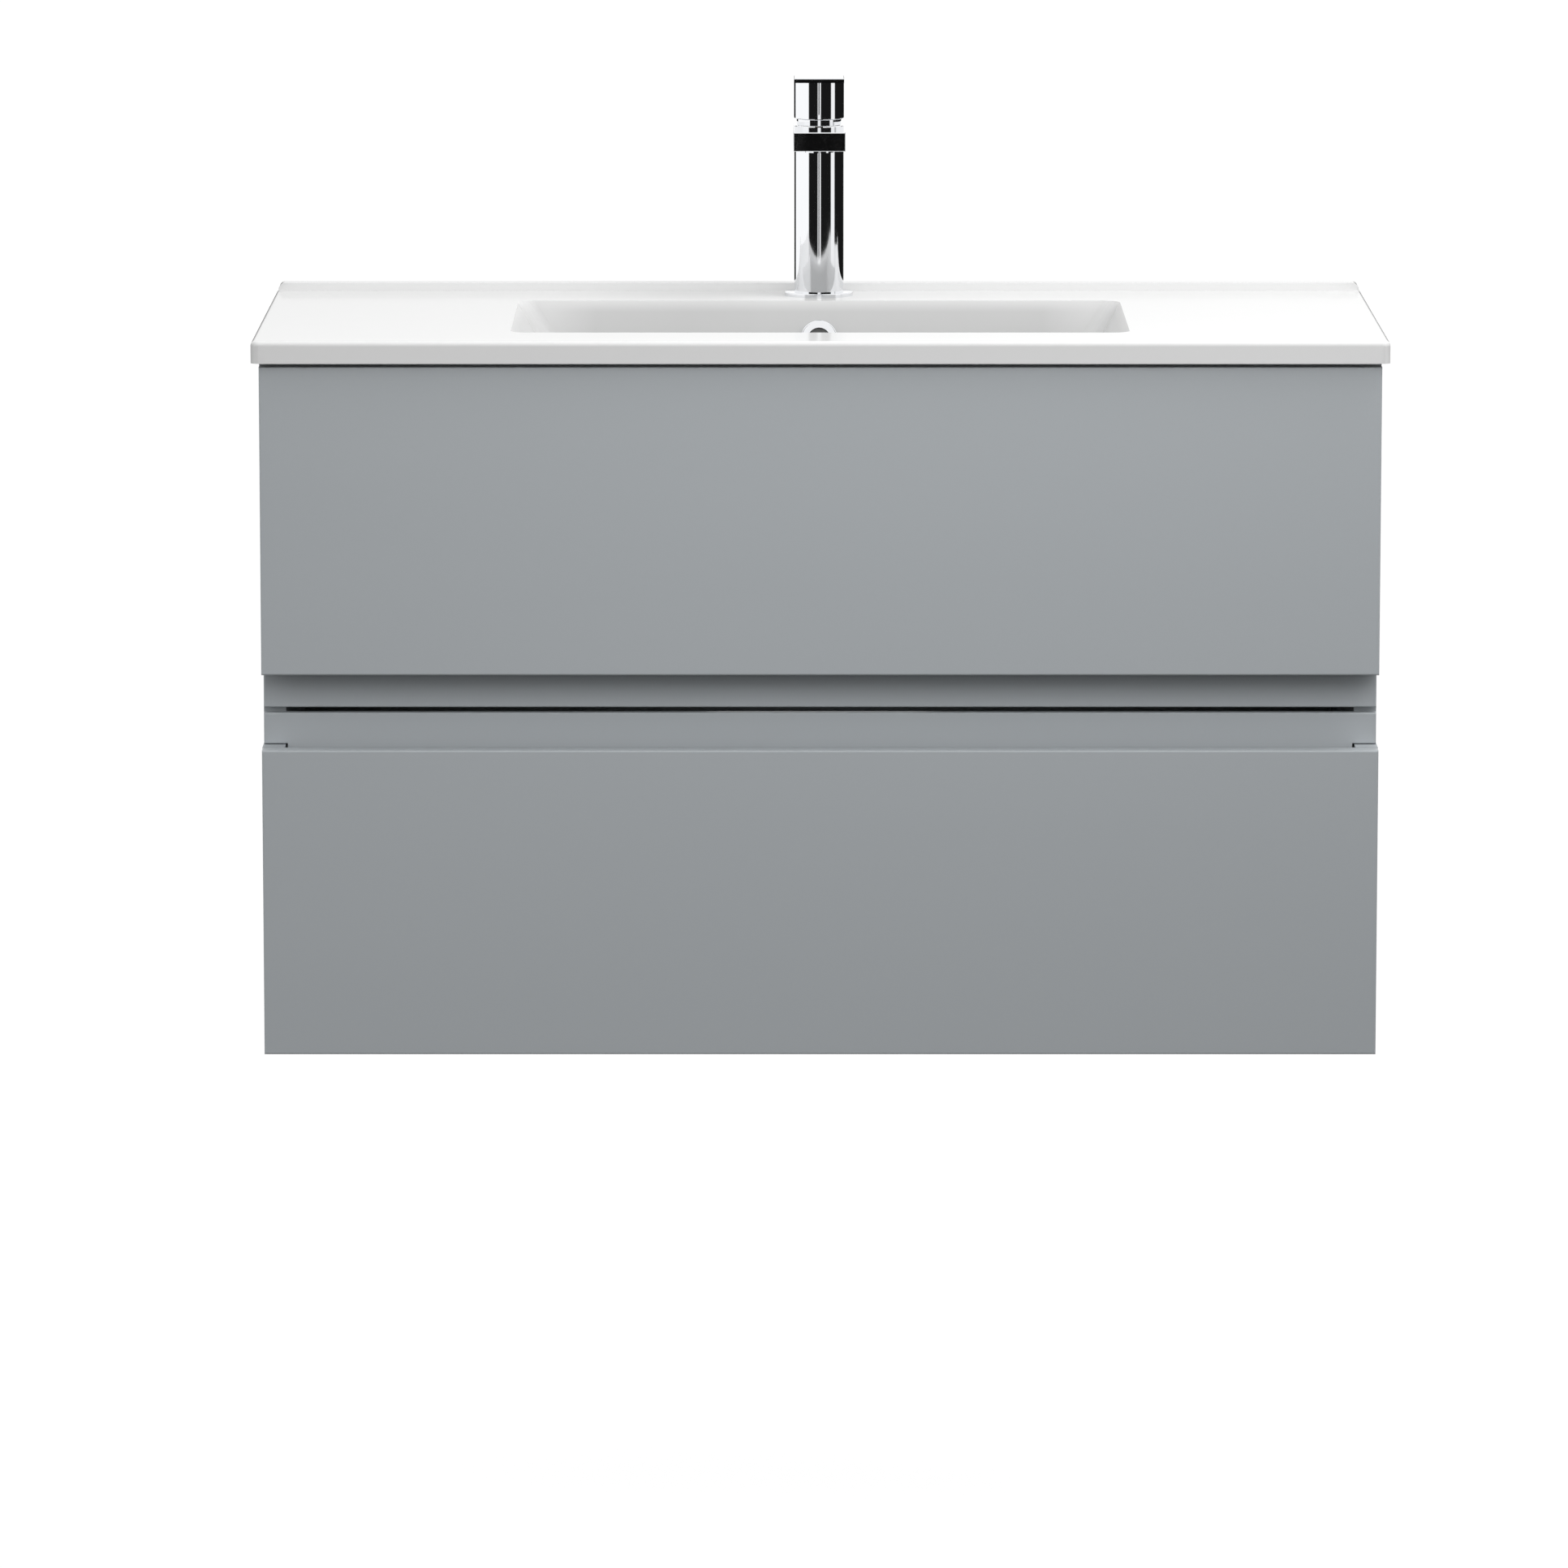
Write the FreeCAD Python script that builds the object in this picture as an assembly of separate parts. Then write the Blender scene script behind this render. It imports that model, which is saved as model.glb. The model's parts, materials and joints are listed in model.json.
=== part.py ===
import FreeCAD, Part
import math
import os

# Wall-hung bathroom cabinet with two drawers, a ceramic basin and a single-lever mixer tap.
# +X is to the right of someone who stands in front, +Y goes into the wall and +Z is up.
# The wall is the plane y = 0. Heights in this file are measured from the cabinet's underside,
# and the export moves the origin up to the centre of the wall fixings.

V = FreeCAD.Vector

# ---- driving dimensions, in millimetres ----
cabinet_width = 800.0
cabinet_height = 500.0
board = 16.0                      # thickness of the carcass boards
wall_gap = 20.0                   # space between the rear rails and the wall

basin_width = 810.0
basin_depth = 360.0
basin_edge = 16.0                 # height of the basin's visible edge
deck_plate = 10.0                 # thickness of the ceramic deck
front_overhang = 7.0              # how far the basin stands in front of the drawer faces

face_thickness = 15.0
face_width = 799.0
finger_depth = 15.0               # space behind the faces for the fingers
inner_front_thickness = 8.0
front_clearance = 1.5             # between a closed front and the cabinet behind it
lower_face_top = 221.0
upper_face_bottom = 275.5
upper_face_top = 496.7
lower_strip_top = 244.0
upper_strip_bottom = 248.0
edge_round = 1.0

drawer_board = 12.0
drawer_base_board = 8.0
runner_space = 12.7               # between the side panel and the drawer side
runner_length = 250.0
drawer_rear = -50.0
upper_box_bottom = 262.0
upper_box_top = 372.0
lower_box_bottom = 30.0
lower_box_top = 190.0
upper_runner_height = 318.0
lower_runner_height = 110.0
well_half_width = 80.0            # half the width of the cut-out round the waste pipe
well_front = -250.0

bowl_width = 444.0
bowl_front = -301.5
bowl_rear = -85.0
bowl_depth = 110.0
bowl_wall = 8.0
bowl_end_slope = 30.0             # degrees from the vertical
bowl_long_slope = 8.0
bowl_corner = 12.0
bowl_floor_round = 18.0
upstand_depth = 16.0
upstand_height = 6.0
overflow_drop = 28.0              # centre of the overflow below the deck

tap_y = -44.0
tap_radius = 18.25
tap_height = 129.0                # top of the spout above the deck
spout_reach = 94.0
spout_width = 38.0
spout_thickness = 14.0
knob_radius = 18.5
knob_gap = 3.0
knob_height = 27.8
lever_thickness = 3.2
lever_front = 28.0                # from the tap's axis to the front of the lever plate
lift_angle = 20.0

fixing_height = 462.0             # centre of the wall fixings above the underside
fixing_spacing_x = 678.0
fixing_spacing_z = 30.0
fixing_hole_radius = 3.0

# ---- places worked out from them ----
half = cabinet_width / 2
inside = half - board
deck = cabinet_height + basin_edge
basin_front = -basin_depth
face_front = basin_front + front_overhang
face_back = face_front + face_thickness
strip_front = face_back + finger_depth
strip_back = strip_front + inner_front_thickness
carcass_front = face_back + front_clearance
notch_front = strip_back + front_clearance
rear_rail_back = -wall_gap
rear_rail_front = rear_rail_back - board
drawer_half = inside - runner_space
bowl_middle = (bowl_front + bowl_rear) / 2
bowl_floor = deck - bowl_depth
knob_bottom = deck + tap_height + knob_gap
knob_top = knob_bottom + knob_height


# ---- small helpers ----
def box(x0, x1, y0, y1, z0, z1):
    return Part.makeBox(x1 - x0, y1 - y0, z1 - z0, V(x0, y0, z0))


def disc(radius, z0, z1, x=0.0, y=0.0):
    return Part.makeCylinder(radius, z1 - z0, V(x, y, z0))


def ring(outer, inner, z0, z1, x=0.0, y=0.0):
    return disc(outer, z0, z1, x, y).cut(disc(inner, z0, z1, x, y))


def rod_y(radius, y0, y1, x, z):
    return Part.makeCylinder(radius, y1 - y0, V(x, y0, z), V(0, 1, 0))


def rod_x(radius, x0, x1, y, z):
    return Part.makeCylinder(radius, x1 - x0, V(x0, y, z), V(1, 0, 0))


def mirrored(shape):
    return shape.mirror(V(0, 0, 0), V(1, 0, 0))


def fused(first, *others):
    return first.fuse(list(others)).removeSplitter()


def edges_where(shape, test):
    """The edges whose every end and middle point pass the test."""
    chosen = []
    for edge in shape.Edges:
        middle = edge.valueAt((edge.FirstParameter + edge.LastParameter) / 2)
        points = [vertex.Point for vertex in edge.Vertexes] + [middle]
        if all(test(point) for point in points):
            chosen.append(edge)
    return chosen


def near(a, b):
    return abs(a - b) < 0.01


def rounded(shape, radius, test):
    return shape.makeFillet(radius, edges_where(shape, test))


def rounded_rectangle(half_width, y0, y1, radius, z):
    """A closed wire at height z with four round corners, centred on x = 0."""
    corners = [(1, y1, 0), (-1, y1, 90), (-1, y0, 180), (1, y0, 270)]
    arcs = []
    for side, y, start in corners:
        inward = -radius if y == y1 else radius
        centre = V(side * (half_width - radius), y + inward, z)
        arcs.append(Part.makeCircle(radius, centre, V(0, 0, 1), start, start + 90))
    edges = []
    for arc, following in zip(arcs, arcs[1:] + arcs[:1]):
        edges.append(arc)
        edges.append(Part.makeLine(arc.Vertexes[-1].Point, following.Vertexes[0].Point))
    return Part.Wire(edges)


def hexagon(across_flats, z0, z1, x=0.0, y=0.0):
    corner = across_flats / math.sqrt(3)
    points = []
    for step in range(7):
        angle = math.radians(60 * step)
        points.append(V(x + corner * math.cos(angle), y + corner * math.sin(angle), z0))
    return Part.Face(Part.makePolygon(points)).extrude(V(0, 0, z1 - z0))


os.makedirs("parts", exist_ok=True)
volumes = {}


def export(node, shape):
    """Write one sub-part, moved so that the origin is the centre of the wall fixings."""
    placed = shape.copy()
    placed.translate(V(0, 0, -fixing_height))
    placed.exportStep("parts/%s.step" % node)
    volumes[node] = placed.Volume


def export_pair(node, right_shape):
    export(node + "_right", right_shape)
    export(node + "_left", mirrored(right_shape))


# ---- cam fittings: a steel cam sunk into each board end, with its bolt in the side panel ----
cam_radius = 7.5
cam_length = 12.5
cam_from_side = 34.0
cam_bolt_radius = 3.5
cam_bolt_in_side = 11.0
rail_height = 60.0
top_rail_bottom = 375.0


def cam_fitting(y, z, axis):
    """A cam whose mouth is at (y, z), sunk the other way from axis, and its bolt."""
    x = inside - cam_from_side
    middle = V(x, y, z) - axis * (board / 2)
    cam = Part.makeCylinder(cam_radius, cam_length, V(x, y, z) - axis * cam_length, axis)
    return fused(cam, rod_x(cam_bolt_radius, x, inside + cam_bolt_in_side, middle.y, middle.z))


def cam_fittings():
    up = V(0, 0, 1)
    back = V(0, 1, 0)
    cams = []
    for y in (carcass_front + 60, rear_rail_front - 45):
        cams.append(cam_fitting(y, board, up))
    cams.append(cam_fitting(carcass_front + board, cabinet_height - rail_height / 2, back))
    for low in (top_rail_bottom, board):
        cams.append(cam_fitting(rear_rail_back, low + rail_height / 2, back))
    return Part.makeCompound(cams + [mirrored(cam) for cam in cams])


# ---- cabinet boards ----
notch_top = upper_face_bottom + 2
back_board = 8.0
pipe_half_width = 120.0
pipe_bottom = 240.0
pipe_top = 360.0


def side_panel():
    """The right side, notched in front so that the grip strips can run across its edge."""
    panel = box(inside, half, carcass_front, 0, 0, cabinet_height)
    notch = box(inside, half, carcass_front, notch_front, lower_face_top, notch_top)
    return panel.cut(notch).cut(cams)


def bottom_panel():
    return box(-inside, inside, carcass_front, rear_rail_back, 0, board).cut(cams)


def top_front_rail():
    low = cabinet_height - rail_height
    return box(-inside, inside, carcass_front, carcass_front + board, low, cabinet_height).cut(cams)


def rear_rail(low):
    return box(-inside, inside, rear_rail_front, rear_rail_back, low, low + rail_height).cut(cams)


def back_panel():
    """A thin board in front of the rear rails, with an opening for the pipes."""
    front = rear_rail_front - back_board
    top = top_rail_bottom + rail_height
    panel = box(-inside, inside, front, rear_rail_front, board, top)
    pipes = box(-pipe_half_width, pipe_half_width, front, rear_rail_front, pipe_bottom, pipe_top)
    return panel.cut(pipes).cut(cams)


cams = cam_fittings()
export("cam_fittings", cams)
export("back_panel", back_panel())
export_pair("side_panel", side_panel())
export("bottom_panel", bottom_panel())
export("top_front_rail", top_front_rail())
export("top_rear_rail", rear_rail(top_rail_bottom))
export("lower_rear_rail", rear_rail(board))


# ---- wall plates and the cabinet hangers that hook over them ----
plate_x = fixing_spacing_x / 2
plate_half_width = 28.0
plate_half_height = 23.0
plate_steel = 3.0
plate_top = fixing_height + plate_half_height
lip_front = -9.0
lip_top = plate_top + 5.0
hook_steel = 2.2
hook_top = lip_top + 3.5
hook_half_width = 14.0
housing_front = -72.0
housing_back = -30.0
housing_width = 30.0
housing_bottom = 447.0
housing_steel = 2.0
hanger_screw_x = inside - 12.0
hanger_screw_radius = 3.0
hanger_screw_heights = (458.0, 476.0)


def wall_plate():
    """A steel plate on the wall whose top edge is folded forward and up into a lip."""
    left = plate_x - plate_half_width
    right = plate_x + plate_half_width
    plate = box(left, right, -plate_steel, 0, fixing_height - plate_half_height, plate_top)
    shelf = box(left, right, lip_front, 0, plate_top - plate_steel, plate_top)
    lip = box(left, right, lip_front, lip_front + plate_steel, plate_top - plate_steel, lip_top)
    shape = fused(plate, shelf, lip)
    for dz in (-fixing_spacing_z / 2, fixing_spacing_z / 2):
        shape = shape.cut(rod_y(fixing_hole_radius, -plate_steel, 0, plate_x, fixing_height + dz))
    return shape


def cabinet_hanger():
    """A folded housing on the side panel with an arm that hooks behind the wall plate's lip."""
    outer = box(inside - housing_width, inside, housing_front, housing_back, housing_bottom, hook_top)
    hollow = box(inside - housing_width + housing_steel, inside - housing_steel,
                 housing_front + housing_steel, housing_back,
                 housing_bottom, hook_top - hook_steel)
    arm_left = plate_x - hook_half_width
    tip_back = -plate_steel - 0.4
    arm = box(arm_left, inside - 8, housing_front, tip_back, hook_top - hook_steel, hook_top)
    tip = box(arm_left, plate_x + hook_half_width, tip_back - hook_steel, tip_back,
              plate_top + 1, hook_top)
    shape = fused(outer.cut(hollow), arm, tip)
    for z in hanger_screw_heights:
        shape = shape.cut(rod_y(hanger_screw_radius, housing_front, housing_front + housing_steel,
                                hanger_screw_x, z))
    return shape


def hanger_screws():
    """Two adjusting screws in each hanger, with cross slots in their heads."""
    screws = []
    for z in hanger_screw_heights:
        thread = rod_y(hanger_screw_radius, housing_front, housing_back - 6, hanger_screw_x, z)
        head = rod_y(5.0, housing_front - 4, housing_front, hanger_screw_x, z)
        screw = fused(thread, head)
        slot_x = box(hanger_screw_x - 4, hanger_screw_x + 4, housing_front - 4, housing_front - 2,
                     z - 0.6, z + 0.6)
        slot_z = box(hanger_screw_x - 0.6, hanger_screw_x + 0.6, housing_front - 4,
                     housing_front - 2, z - 4, z + 4)
        screws.append(screw.cut(slot_x).cut(slot_z))
    return Part.makeCompound(screws + [mirrored(screw) for screw in screws])


export_pair("wall_plate", wall_plate())
export_pair("cabinet_hanger", cabinet_hanger())
export("hanger_screws", hanger_screws())


# ---- drawer fronts: face, spacer and inner front with its full-width grip strip ----
front_screw_radius = 2.5
front_screw_bite = 9.0            # how far the screws go into the face
inner_half = inside - 1.5
spacer_half = inside - 4.0
upper_spacer = (300.0, 385.0)
lower_spacer = (96.0, 196.0)
lower_inner_bottom = board + 6.0
strip_clearance = 0.5


def front_screws(spacer, drawer_box):
    """Round-headed screws from inside the drawer through inner front and spacer into the face."""
    screws = []
    low, high = spacer
    z = (max(low, drawer_box[0]) + min(high, drawer_box[1])) / 2
    for x in (120, 240, 340):
        for side in (-1, 1):
            thread = rod_y(front_screw_radius, face_back - front_screw_bite, strip_back, side * x, z)
            head = rod_y(4.5, strip_back, strip_back + 2.5, side * x, z)
            screws.append(fused(thread, head))
    return Part.makeCompound(screws)


def face_panel(z0, z1, screws):
    panel = box(-face_width / 2, face_width / 2, face_front, face_back, z0, z1)
    return rounded(panel, edge_round, lambda p: near(p.y, face_front)).cut(screws)


def inner_front(strip, body, screws):
    """The grip strip is as wide as the face, and the rest fits between the side panels."""
    grip = box(-face_width / 2, face_width / 2, strip_front, strip_back, strip[0], strip[1])
    grip = rounded(grip, edge_round, lambda p: near(p.y, strip_front))
    board_part = box(-inner_half, inner_half, strip_front, strip_back, body[0], body[1])
    return fused(grip, board_part).cut(screws)


def export_front(drawer, face, strip, body, spacer, drawer_box):
    screws = front_screws(spacer, drawer_box)
    export(drawer + "_face_panel", face_panel(face[0], face[1], screws))
    export(drawer + "_inner_front", inner_front(strip, body, screws))
    spacer_board = box(-spacer_half, spacer_half, face_back, strip_front, spacer[0], spacer[1])
    export(drawer + "_spacer", spacer_board.cut(screws))
    export(drawer + "_front_screws", screws)


upper_strip = (upper_strip_bottom, notch_top - 1)
lower_strip = (lower_face_top + strip_clearance, lower_strip_top)
upper_box = (upper_box_bottom, upper_box_top)
lower_box = (lower_box_bottom, lower_box_top)
export_front("upper", (upper_face_bottom, upper_face_top), upper_strip,
             (upper_strip[1] - 2 * edge_round, upper_spacer[1]), upper_spacer, upper_box)
export_front("lower", (0, lower_face_top), lower_strip,
             (lower_inner_bottom, lower_strip[0] + 2 * edge_round), lower_spacer, lower_box)


# ---- drawer boxes ----
side_inner = drawer_half - drawer_board
well_outer = well_half_width + drawer_board
well_wall_front = well_front - drawer_board


def drawer_side(z0, z1):
    return box(side_inner, drawer_half, strip_back, drawer_rear, z0, z1)


def upper_base():
    base = box(-side_inner, side_inner, strip_back, drawer_rear, upper_box_bottom,
               upper_box_bottom + drawer_base_board)
    return base.cut(box(-well_outer, well_outer, well_wall_front, drawer_rear,
                        upper_box_bottom, upper_box_top))


export_pair("upper_drawer_side", drawer_side(upper_box_bottom, upper_box_top))
export_pair("upper_drawer_back", box(well_outer, side_inner, drawer_rear - drawer_board, drawer_rear,
                                     upper_box_bottom + drawer_base_board, upper_box_top))
export_pair("upper_well_side", box(well_half_width, well_outer, well_wall_front, drawer_rear,
                                   upper_box_bottom, upper_box_top))
export("upper_well_front", box(-well_half_width, well_half_width, well_wall_front, well_front,
                               upper_box_bottom, upper_box_top))
export("upper_drawer_base", upper_base())

export_pair("lower_drawer_side", drawer_side(lower_box_bottom, lower_box_top))
export("lower_drawer_back", box(-side_inner, side_inner, drawer_rear - drawer_board, drawer_rear,
                                lower_box_bottom + drawer_base_board, lower_box_top))
export("lower_drawer_base", box(-side_inner, side_inner, strip_back, drawer_rear,
                                lower_box_bottom, lower_box_bottom + drawer_base_board))


# ---- runners: three nested steel channels on each side of a drawer ----
runner_steel = 1.2
runner_front = strip_back + 7.0
runner_rear = runner_front + runner_length
middle_shorter = 10.0


def channel(web, flange, half_height, y0, y1, z):
    """A channel on the right; web and flange are distances from the side panel's inner face."""
    x0, x1 = inside - flange[1], inside - flange[0]
    upright = box(inside - web - runner_steel, inside - web, y0, y1, z - half_height, z + half_height)
    top = box(x0, x1, y0, y1, z + half_height - runner_steel, z + half_height)
    bottom = box(x0, x1, y0, y1, z - half_height, z - half_height + runner_steel)
    shape = fused(upright, top, bottom)
    return Part.makeCompound([shape, mirrored(shape)])


def export_runners(drawer, z):
    drawer_web = runner_space - runner_steel
    export(drawer + "_runner_cabinet_members",
           channel(0, (0, 10.5), 22.5, runner_front, runner_rear, z))
    export(drawer + "_runner_middle_members",
           channel(5.7, (1.9, 10.8), 20.3, runner_front, runner_rear - middle_shorter, z))
    export(drawer + "_runner_drawer_members",
           channel(drawer_web, (7.6, runner_space), 18.3, runner_front, runner_rear, z))


export_runners("upper", upper_runner_height)
export_runners("lower", lower_runner_height)


# ---- basin ----
waste_hole_radius = 23.0
waste_recess_radius = 32.5
waste_recess = bowl_floor - 3.5
boss_bottom = bowl_floor - 18.0
overflow_z = deck - overflow_drop
rear_slope = math.radians(bowl_long_slope)
overflow_y = bowl_rear - overflow_drop * math.tan(rear_slope)
overflow_axis = V(0, -math.cos(rear_slope), math.sin(rear_slope))
overflow_hole_radius = 10.0
tap_hole_radius = 17.5
duct_back = -70.0                 # rear of the overflow duct
duct_front = -100.0
duct_half_width = 26.0
duct_wall = 6.0
trough_half_width = 17.0          # the duct's run under the bowl, to the waste
trough_bore_half_width = 10.0
boss_radius = 38.0
rim_width = 22.0                  # solid rim round the hollow underside, at the sides
rim_front = 34.0
rim_rear = 15.0
deck_rounding = 3.5
upstand_rounding = 5.0
upstand_inset = 2.0
overflow_flange_radius = 14.0
overflow_flange = 2.6
overflow_bore = 8.0


def bowl_loft(grow, top, floor, floor_round):
    """The bowl's tapering form, grown outwards by the wall thickness for the outer skin."""
    def outline(z, radius):
        drop = deck - z
        ends = drop * math.tan(math.radians(bowl_end_slope)) - grow
        sides = drop * math.tan(math.radians(bowl_long_slope)) - grow
        return rounded_rectangle(bowl_width / 2 - ends, bowl_front + sides, bowl_rear - sides,
                                 radius + grow, z)
    form = Part.makeLoft([outline(top, bowl_corner), outline(floor, 2 * bowl_corner)], True, True)
    return rounded(form, floor_round, lambda p: near(p.z, floor))


def overflow_cylinder(radius, start, end):
    """A cylinder along the overflow's axis; distances count from the bowl's rear wall."""
    foot = V(0, overflow_y, overflow_z) + overflow_axis * start
    return Part.makeCylinder(radius, end - start, foot, overflow_axis)


def basin_slab():
    half_width = basin_width / 2
    slab = Part.Face(rounded_rectangle(half_width, basin_front, 0, 6, cabinet_height))
    slab = slab.extrude(V(0, 0, basin_edge))
    slab = slab.cut(box(-half_width + rim_width, half_width - rim_width, basin_front + rim_front,
                        -rim_rear, cabinet_height, deck - deck_plate))
    slab = rounded(slab, deck_rounding, lambda p: near(p.z, deck))
    end = half_width - upstand_inset
    upstand = box(-end, end, -upstand_depth, -0.5, deck - 3, deck + upstand_height)
    upstand = rounded(upstand, upstand_rounding,
                      lambda p: near(abs(p.x), end) and near(p.z, deck + upstand_height))
    return slab, upstand


def basin():
    slab, upstand = basin_slab()
    skin = bowl_loft(bowl_wall, deck - 2, bowl_floor - bowl_wall, bowl_floor_round + bowl_wall)
    duct = box(-duct_half_width, duct_half_width, duct_front, duct_back, boss_bottom, deck - 2)
    trough = box(-trough_half_width, trough_half_width, bowl_middle, duct_back,
                 boss_bottom, bowl_floor - 4)
    boss = disc(boss_radius, boss_bottom, bowl_floor - 4, 0, bowl_middle)
    shape = slab.fuse([upstand, skin, duct, trough, boss])
    cavity = bowl_loft(0, deck, bowl_floor, bowl_floor_round)
    fall = Part.makeCone(waste_hole_radius, 85, 4, V(0, bowl_middle, bowl_floor - 4), V(0, 0, 1))
    shape = shape.cut([cavity, fall])
    shape = shape.cut(disc(waste_recess_radius, waste_recess, bowl_floor + 1, 0, bowl_middle))
    shape = shape.cut(disc(waste_hole_radius, boss_bottom, bowl_floor, 0, bowl_middle))
    bore_half = duct_half_width - duct_wall - 1
    inside_duct = box(-bore_half, bore_half, duct_front, duct_back - duct_wall,
                      bowl_floor - 14, deck - 18).cut(skin)
    shape = shape.cut(inside_duct)
    shape = shape.cut(box(-trough_bore_half_width, trough_bore_half_width, bowl_middle,
                          duct_back - duct_wall, bowl_floor - 14, bowl_floor - 9))
    shape = shape.cut(overflow_cylinder(overflow_hole_radius, -14, 4))
    shape = shape.cut(disc(tap_hole_radius, deck - basin_edge, deck + 1, 0, tap_y))
    return shape.removeSplitter()


def overflow_ring():
    flange = overflow_cylinder(overflow_flange_radius, 0.1, overflow_flange)
    flange = rounded(flange, 1.2, lambda p: (p - V(0, overflow_y, overflow_z)).dot(overflow_axis) > 2)
    sleeve = overflow_cylinder(overflow_hole_radius - 0.2, -9, 1)
    return fused(flange, sleeve).cut(overflow_cylinder(overflow_bore, -10, 4))


export("basin", basin())
export("overflow_ring", overflow_ring())


# ---- waste: threaded tube with a flange, washer, back nut and press plug ----
waste_thread_radius = 20.95
waste_flange_radius = 31.5
washer_thickness = 3.0
nut_radius = 31.0
nut_height = 10.0
nut_grooves = 12
waste_bore = 18.5
waste_bottom = bowl_floor - 80.0
flange_top = waste_recess + 3.0
hub_radius = 10.0
plug_stem_radius = 6.0
plug_travel = 6.0
hub_top = bowl_floor - 26.0
tail_length = 20.0                # thread below the run-out groove, for the trap's nut


def waste_body():
    flange = disc(waste_flange_radius, waste_recess, flange_top, 0, bowl_middle)
    flange = rounded(flange, 1.2, lambda p: near(p.z, flange_top))
    tube = disc(waste_thread_radius, waste_bottom, flange_top - 1, 0, bowl_middle)
    shape = fused(flange, tube)
    groove_z = waste_bottom + tail_length
    shape = shape.cut(ring(waste_thread_radius + 1, waste_thread_radius - 1, groove_z, groove_z + 2,
                           0, bowl_middle))
    shape = shape.cut(disc(waste_bore, waste_bottom, flange_top, 0, bowl_middle))
    bridge = box(-waste_bore - 1, waste_bore + 1, bowl_middle - 2.5, bowl_middle + 2.5,
                 hub_top - 10, hub_top - 2)
    hub = disc(hub_radius, hub_top - 14, hub_top, 0, bowl_middle)
    shape = fused(shape, bridge, hub)
    shape = shape.cut(disc(plug_stem_radius + 0.05, hub_top - 14, hub_top, 0, bowl_middle))
    slot_z = bowl_floor - 11.5
    slot = rod_y(2.4, bowl_middle + waste_bore - 2, bowl_middle + waste_thread_radius + 1, 0, slot_z)
    return shape.cut(slot)


def waste_nut():
    high = boss_bottom - washer_thickness
    low = high - nut_height
    nut = disc(nut_radius, low, high, 0, bowl_middle)
    for step in range(nut_grooves):
        angle = 2 * math.pi * step / nut_grooves
        nut = nut.cut(disc(3, low, high, (nut_radius + 1) * math.cos(angle),
                           bowl_middle + (nut_radius + 1) * math.sin(angle)))
    return nut.cut(disc(waste_thread_radius, low, high, 0, bowl_middle))


def press_plug():
    """A shallow domed cap on a stem that slides in the waste's hub."""
    low = flange_top + plug_travel + 0.5
    cap = disc(31, low, low + 3, 0, bowl_middle)
    crown = Part.makeSphere(160, V(0, bowl_middle, low + 5 - 160))
    crown = crown.common(disc(31, low, low + 6, 0, bowl_middle))
    stem = disc(plug_stem_radius, hub_top - 30, low + 1, 0, bowl_middle)
    return fused(cap, crown, stem)


export("waste_body", waste_body())
export("waste_washer", ring(30, waste_thread_radius + 0.2, boss_bottom - washer_thickness, boss_bottom,
                            0, bowl_middle))
export("waste_nut", waste_nut())
export("press_plug", press_plug())


# ---- mixer tap ----
tap_bore = 14.0
cartridge_radius = 13.8
cartridge_bottom = deck + 94.0
spout_top = deck + tap_height
spout_bottom = spout_top - spout_thickness
flange_thickness = 3.0
flange_radius = 25.5
seal_outer = 23.0
seal_inner = 20.0
seal_height = 1.5
spout_rounding = 0.6
spout_wall = 3.0
outlet_y = tap_y - spout_reach + 15.0
aerator_radius = 10.5
aerator_bore = 8.5
inlet_radius = 4.46
inlet_depth = 12.0
waterway_radius = 3.0
insert_height = 25.0
stud_depth = 14.0
inlet_x = 6.5
inlet_y = tap_y + 3.0
stud_radius = 4.0
stud_y = tap_y - 8.0
pivot_z = deck + 122.0
turret_radius = 8.6
turret_hole = 9.0
turret_floor = deck + 110.0
knob_wall = 3.0
collar_radius = 16.5
washer_radius = 24.0
tap_nut_height = 6.5
stem_half = 3.0


def u_plate(radius, front, z0, z1):
    """A plate that is straight in front and half round behind the tap's axis."""
    block = box(-radius, radius, front, tap_y, z0, z1)
    return fused(block, disc(radius, z0, z1, 0, tap_y))


def tap_flange():
    flange = disc(flange_radius, deck, deck + flange_thickness, 0, tap_y)
    flange = rounded(flange, 1.0, lambda p: near(p.z, deck + flange_thickness))
    groove = ring(seal_outer, seal_inner, deck, deck + seal_height, 0, tap_y)
    return flange.cut(disc(tap_bore, deck, deck + flange_thickness, 0, tap_y)).cut(groove)


def tap_body():
    column = disc(tap_radius, deck + flange_thickness, spout_top, 0, tap_y)
    front = tap_y - spout_reach
    spout = u_plate(spout_width / 2, front, spout_bottom, spout_top)
    spout = rounded(spout, spout_rounding, lambda p: near(p.y, front))
    shape = fused(column, spout)
    shape = shape.cut(disc(tap_bore, deck + flange_thickness, spout_top, 0, tap_y))
    shape = shape.cut(box(-9, 9, outlet_y, tap_y - tap_bore + 3,
                          spout_bottom + spout_wall, spout_top - spout_wall))
    return shape.cut(disc(aerator_radius, spout_bottom, spout_top - spout_wall, 0, outlet_y))


def aerator():
    low = spout_bottom - 1.5
    shape = ring(aerator_radius, aerator_bore, low, spout_bottom + 8, 0, outlet_y)
    bars = [box(-9, 9, outlet_y + dy - 0.5, outlet_y + dy + 0.5, low + 3, low + 4.5)
            for dy in (-5, -2.5, 0, 2.5, 5)]
    return fused(shape, *[bar.common(disc(9, low, low + 6, 0, outlet_y)) for bar in bars])


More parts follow.
